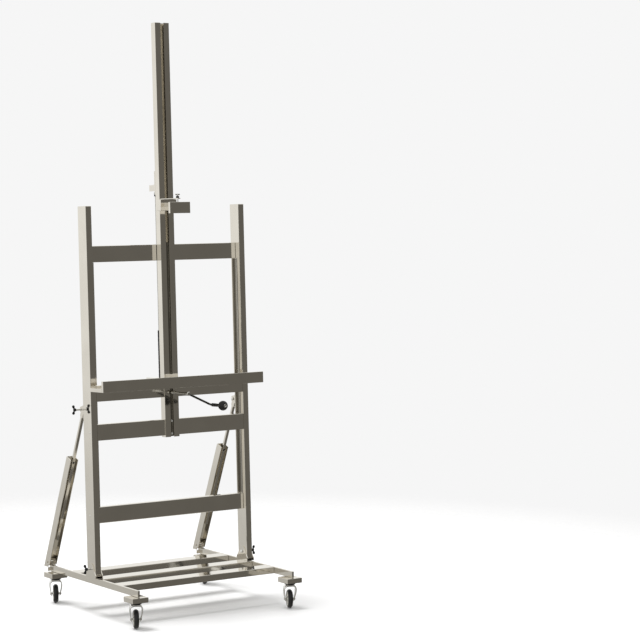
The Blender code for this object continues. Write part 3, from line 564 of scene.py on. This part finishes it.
def make_fork(tag):
    """A bent fork under a black swivel disc: one plate carried along an arch over the wheel, its width rising
    evenly from a round foot at the axle to the shoulder, and its crown thicker."""
    body = f"caster_fork_{tag}"
    post = joint_point(f"caster_swivel_{tag}")
    axle_at, axle = joint_point(f"caster_roll_{tag}"), joint_axis(f"caster_roll_{tag}")
    ahead = np.cross(STRAIGHT_UP, axle)
    ahead *= np.sign(ahead.dot(axle_at - post))
    ground = post * [1, 1, 0]
    trail = (axle_at - post).dot(ahead)
    half = [(0.0163, 0.0272), (0.0235, 0.0640), (0.0241, 0.0800)]
    half += [(0.0205, 0.0900), (0.0120, 0.0938), (0.0, 0.0940)]
    arch = rounded([*half, *[(-x, z) for x, z in half[-2::-1]]], 0.0075, 6)
    steps = np.concatenate([[0.0], np.cumsum(np.linalg.norm(np.diff(arch, axis=0), axis=1))])
    even = np.linspace(0.0, steps[-1], 61)
    x, z = np.interp(even, steps, arch[:, 0]), np.interp(even, steps, arch[:, 1])
    path = ground + x[:, None] * axle + z[:, None] * STRAIGHT_UP
    above = z - axle_at[2]
    shoulder, foot_radius, widening, top_shift = 0.086, 0.0105, 0.022, 0.001
    rise = np.clip(above / (shoulder - axle_at[2]), 0.0, 1.0)
    foot = np.sqrt(np.clip(foot_radius**2 - np.minimum(above, 0.0) ** 2, 0.0, None))
    widths = np.where(above < 0.0, 2 * foot, 2 * foot_radius + widening * rise)
    thicknesses = 0.0031 + 0.0048 * np.clip((z - shoulder) / 0.0075, 0.0, 1.0)
    shifts = trail + (top_shift - trail) * rise
    dress(band(f"fork_{tag}", path, ahead, widths, shifts, thicknesses), body, CHROME, body)
    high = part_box(body)[1][2]
    disc = rounded([(0.0, high), (0.0218, high), (0.0218, 0.0982), (0.0, 0.0982)], 0.0012)
    dress(turned(f"fork_disc_{tag}", disc, ground, STRAIGHT_UP, 48), body, BLACK)
    bolt = [(0.0, 0.0224), (0.0048, 0.0224), (0.0060, 0.0215), (0.0060, 0.0192), (0.0038, 0.0192)]
    half_bolt = rounded(bolt, 0.0006)
    whole = np.vstack([half_bolt, half_bolt[::-1] * [1, -1]])
    dress(turned(f"fork_axle_{tag}", whole, axle_at, axle, 24), body, STEEL)


def make_crank():
    """The shaft with its collar and elbow, the thin arm bent through a quarter circle, and the ball grip, a
    neck that meets part of a circle, with its steel cap. All but the arm are turned."""
    hub, end = joint_point("crank_turn"), joint_point("crank_knob_spin")
    front = -REARWARD
    shaft = [(0.0, 0.0085), (0.0062, 0.0085), (0.0082, 0.0065), (0.0082, -0.0085), (0.0050, -0.0095)]
    shaft += [(0.0050, -0.1000), (0.0088, -0.1010), (0.0088, -0.1190), (0.0050, -0.1200), (0.0050, -0.1830)]
    shaft += [(0.0097, -0.1840), (0.0072, -0.1905), (0.0, -0.1905)]
    dress(turned("crank_shaft_turned", rounded(shaft, 0.0010), hub, front, 40), "crank", STEEL, "crank_shaft")
    along = (end - hub) / np.linalg.norm(end - hub)
    bend, arm_start = 0.009, 0.0078
    curve = np.linspace(0.0, np.pi / 2, 9)[:, None]
    corner = end - along * bend * (1 - np.sin(curve)) + front * bend * (1 - np.cos(curve))
    root = hub + along * arm_start
    straight = root + np.linspace(0.0, 1.0, 12)[:, None] * (corner[0] - root)
    path = np.vstack([straight[:-1], corner, end + front * np.linspace(0.012, 0.071, 6)[:, None]])
    dress(tube("crank_arm_bent", path, 0.0043, 24), "crank", GUNMETAL, "crank_arm")
    radius, ball, neck_radius, cap_angle = 0.0195, 0.0916, 0.0068, 0.42
    angles = np.linspace(math.asin(neck_radius / radius), math.pi - cap_angle, 22)
    round_part = [(radius * math.sin(a), ball - radius * math.cos(a)) for a in angles]
    neck = [(0.0046, 0.0120), (0.0058, 0.0120), (neck_radius, 0.0135)]
    neck += [(neck_radius, 0.0330), (0.0062, 0.0560), (neck_radius, 0.0700)]
    face = ball + radius * math.cos(cap_angle)
    grip = [(0.0, 0.0120), *neck, *round_part, (0.0074, face - 0.0006), (0.0, face - 0.0006)]
    dress(turned("crank_grip", grip, end, front, 48), "crank_knob", BLACK, "crank_knob")
    cap = [(0.0, face - 0.0004), (0.0070, face - 0.0004), (0.0070, face + 0.0010)]
    cap += [(0.0040, face + 0.0016), (0.0030, face + 0.0004), (0.0, face + 0.0004)]
    dress(turned("crank_grip_cap", rounded(cap, 0.0006), end, front, 32), "crank_knob", CHROME)


def make_lead_screw():
    """A rod whose radius rises and falls once a pitch along a helix, as a clipped triangle wave."""
    low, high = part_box("lead_screw")
    base = joint_point("drive_turn")
    end_gap, root_radius, thread_depth = 0.0003, 0.0049, 0.0010
    bottom = (low[2] + end_gap - base[2]) / UPWARD[2]
    top = (high[2] - end_gap - base[2]) / UPWARD[2]
    pitch, around, per_pitch = 0.004, 16, 5
    rows = int((top - bottom) / pitch * per_pitch)
    height = np.linspace(bottom, top, rows)[:, None]
    turn = np.linspace(0.0, 2 * np.pi, around, endpoint=False)[None, :]
    phase = (height / pitch - turn / (2 * np.pi)) % 1.0
    wave = np.clip(np.abs(2 * phase - 1) * 1.6 - 0.3, 0.0, 1.0)
    radius = root_radius + thread_depth * wave
    first, second = axes_about(UPWARD)
    points = base + (radius * np.cos(turn))[..., None] * first + (radius * np.sin(turn))[..., None] * second
    points = points + height[..., None] * UPWARD
    verts, faces = grid(points, closed_v=True, poles=("start", "end"))
    dress(add_mesh("lead_screw_threaded", verts, faces, 60.0), "mast", STEEL, "lead_screw")


def make_drive():
    """The black drive tube over the screw, turned from a wall with a lip and shallow grip rings at even
    heights, and the knurled nut under the block."""
    base = joint_point("drive_turn")
    inner, outer = 0.0066, 0.0088
    low = outer - 0.0006
    wall = [(inner, 0.2488), (outer - 0.0004, 0.2488), (outer, 0.2470)]
    for ring in np.linspace(0.2380, 0.0760, 10):
        wall += [(outer, ring), (low, ring - 0.0012), (low, ring - 0.0028), (outer, ring - 0.0040)]
    wall += [(outer, 0.0235), (0.0118, 0.0233), (0.0118, 0.0157)]
    wall += [(0.0168, 0.0155), (0.0168, 0.0112), (inner, 0.0110)]
    dress(turned("drive_tube_moulded", wall, base, UPWARD, 40, ring=True), "drive_tube", BLACK, "drive_tube")
    screw_depth, nut_height = 0.076, 1.515
    centre = on_frame(0.0, screw_depth, nut_height)
    nut = [(0.0063, 0.0079), (0.0078, 0.0079), (0.0084, 0.0070)]
    nut += [(r, -h) for r, h in nut[::-1]]
    knurled = turned("screw_nut_knurled", nut, centre, UPWARD, 96, 16, 0.012, ring=True)
    dress(knurled, "mast", BLACK, "screw_nut")


def lobe(name, centre, across, up, body, material, size=1.0):
    """One swept wing of a grip: a slab from the hub out to an arc that makes its full round end."""
    round_end = arc(0.0100, 0.0132, 0.0056, 205, -25, 15) * size
    outline = np.vstack([[(0.0034 * size, 0.0020 * size)], round_end, [(0.0078 * size, 0.0020 * size)]])
    return dress(slab(name, outline, 0.0048 * size, centre, across, up, 0.0016 * size), body, material)


def make_wing_knob(node, sign, inner, start, end):
    """A clamping bolt turned along X with its nut inside, and outside a turned hub with two swept wings."""
    centre, out = joint_point(f"{node}_turn"), RIGHT * sign
    bolt = [(0.0, -inner - 0.0048), (0.0055, -inner - 0.0048), (0.0068, -inner - 0.0038), (0.0068, -inner)]
    bolt += [(0.0039, -inner), (0.0039, start + 0.0010), (0.0, start + 0.0010)]
    dress(turned(f"{node}_bolt", rounded(bolt, 0.0006), centre, out, 32), node, CHROME, node)
    hub = [(0.0, start), (0.0060, start), (0.0062, start + 0.0010), (0.0054, end - 0.0010), (0.0, end)]
    dress(turned(f"{node}_hub", rounded(hub, 0.0008), centre, out, 32), node, BLACK)
    for place_name, up in (("upper", UPWARD), ("lower", -UPWARD)):
        lobe(f"{node}_{place_name}_wing", centre + out * start, out, up, node, BLACK)


def make_clamp_screw():
    """The standing wing screw of the top clamp: a turned shank and round black nut, and two wings."""
    centre = joint_point("clamp_screw_turn")
    shank = [(0.0, -0.0140), (0.0026, -0.0140), (0.0030, -0.0130), (0.0030, 0.0110)]
    shank = rounded([*shank, (0.0042, 0.0130), (0.0036, 0.0196), (0.0, 0.0196)], 0.0008)
    dress(turned("clamp_screw_shank", shank, centre, UPWARD, 28), "clamp_screw", CHROME, "clamp_screw")
    nut = [(0.0032, 0.0020), (0.0056, 0.0020), (0.0064, 0.0036)]
    nut = rounded([*nut, (0.0064, 0.0078), (0.0054, 0.0096), (0.0032, 0.0096)], 0.0008)
    dress(turned("clamp_screw_nut", nut, centre, UPWARD, 72, 12, 0.02, ring=True), "clamp_screw", BLACK)
    wing_height, wing_size = 0.0105, 0.56
    for side, sign in SIDES:
        name = f"clamp_screw_{side}_wing"
        lobe(name, centre + UPWARD * wing_height, UPWARD, RIGHT * sign, "clamp_screw", CHROME, wing_size)


def make_small_turnings():
    """The guide's pan-head screws, the lock screws on the struts and the domed screws on the posts, each one
    a profile turned about its own axis."""
    head = [(0.0, 0.0), (0.0054, 0.0), (0.0054, 0.0012), (0.0044, 0.0027), (0.0026, 0.0032)]
    head += [(0.0022, 0.0016), (0.0, 0.0014)]
    guide_face = 0.0018
    for place_name, height in GUIDE_SCREWS.items():
        at = on_frame(0.0, guide_face, height)
        node = f"guide_screw_{place_name}"
        dress(turned(f"{node}_head", rounded(head, 0.0005), at, -REARWARD, 32), "upright", CHROME, node)
    along = np.array([0.0, -math.sin(STRUT_LEAN), math.cos(STRUT_LEAN)])
    ahead = np.array([0.0, -math.cos(STRUT_LEAN), -math.sin(STRUT_LEAN)])
    lock_reach = 0.468
    screw = [(0.0, 0.0054), (0.0024, 0.0054), (0.0024, 0.0100)]
    screw = rounded([*screw, (0.0050, 0.0102), (0.0050, 0.0155), (0.0, 0.0158)], 0.0006)
    dome = [(0.0, -0.0002), (0.0034, -0.0002), (0.0031, 0.0005), (0.0018, 0.0010), (0.0, 0.0011)]
    for side, sign in SIDES:
        body = f"strut_channel_{side}"
        at = joint_point(f"{body}_hinge") + along * lock_reach
        dress(turned(f"strut_lock_{side}", screw, at, ahead, 24), body, BLACK)
        for place_name, (depth, height) in POST_SCREWS.items():
            at = on_frame(sign * (POST_X + POST_WIDTH / 2), depth, height)
            dress(turned(f"post_screw_{place_name}_{side}", dome, at, RIGHT * sign, 24), "upright", CHROME)


def make_painted_shade_strips():
    """A dark flat strip, a thin slab, on the floor of each post's inner channel: painted shade standing for
    the shaded inside of the channel.
    """
    half_depth, half_height, thickness = 0.0161, 0.483, 0.0005
    channel_floor, middle_depth, middle_height = 0.0015, 0.028, 0.764
    aside = POST_X - POST_WIDTH / 2 - channel_floor - thickness
    outline = [(-half_depth, -half_height), (half_depth, -half_height)]
    outline += [(half_depth, half_height), (-half_depth, half_height)]
    for side, sign in SIDES:
        at = on_frame(sign * aside, middle_depth, middle_height)
        strip = slab(f"painted_shade_strip_{side}", outline, thickness, at, REARWARD, UPWARD, 0.0001)
        dress(strip, "upright", PAINTED_SHADE_STEEL)


def dress_frame():
    """Every node of the frame that still shows gets its finish."""
    for name, node in frame["nodes"].items():
        if node.hide_render:
            continue
        node.data.materials.clear()
        node.data.materials.append(PLAIN_NODES.get(name, NICKEL))


make_camera()
make_studio()
make_sun()
make_floor()
for caster in CASTERS:
    make_wheel(caster)
    make_fork(caster)
make_crank()
make_lead_screw()
make_drive()
for side_name, side_sign in SIDES:
    make_wing_knob(f"tilt_knob_{side_name}", side_sign, *TILT_KNOB)
    make_wing_knob(f"strut_knob_{side_name}", side_sign, *STRUT_KNOB)
make_clamp_screw()
make_small_turnings()
# Dark strips in the posts' channels as painted shade.
make_painted_shade_strips()
dress_frame()
bpy.context.scene.view_settings.view_transform = "Standard"
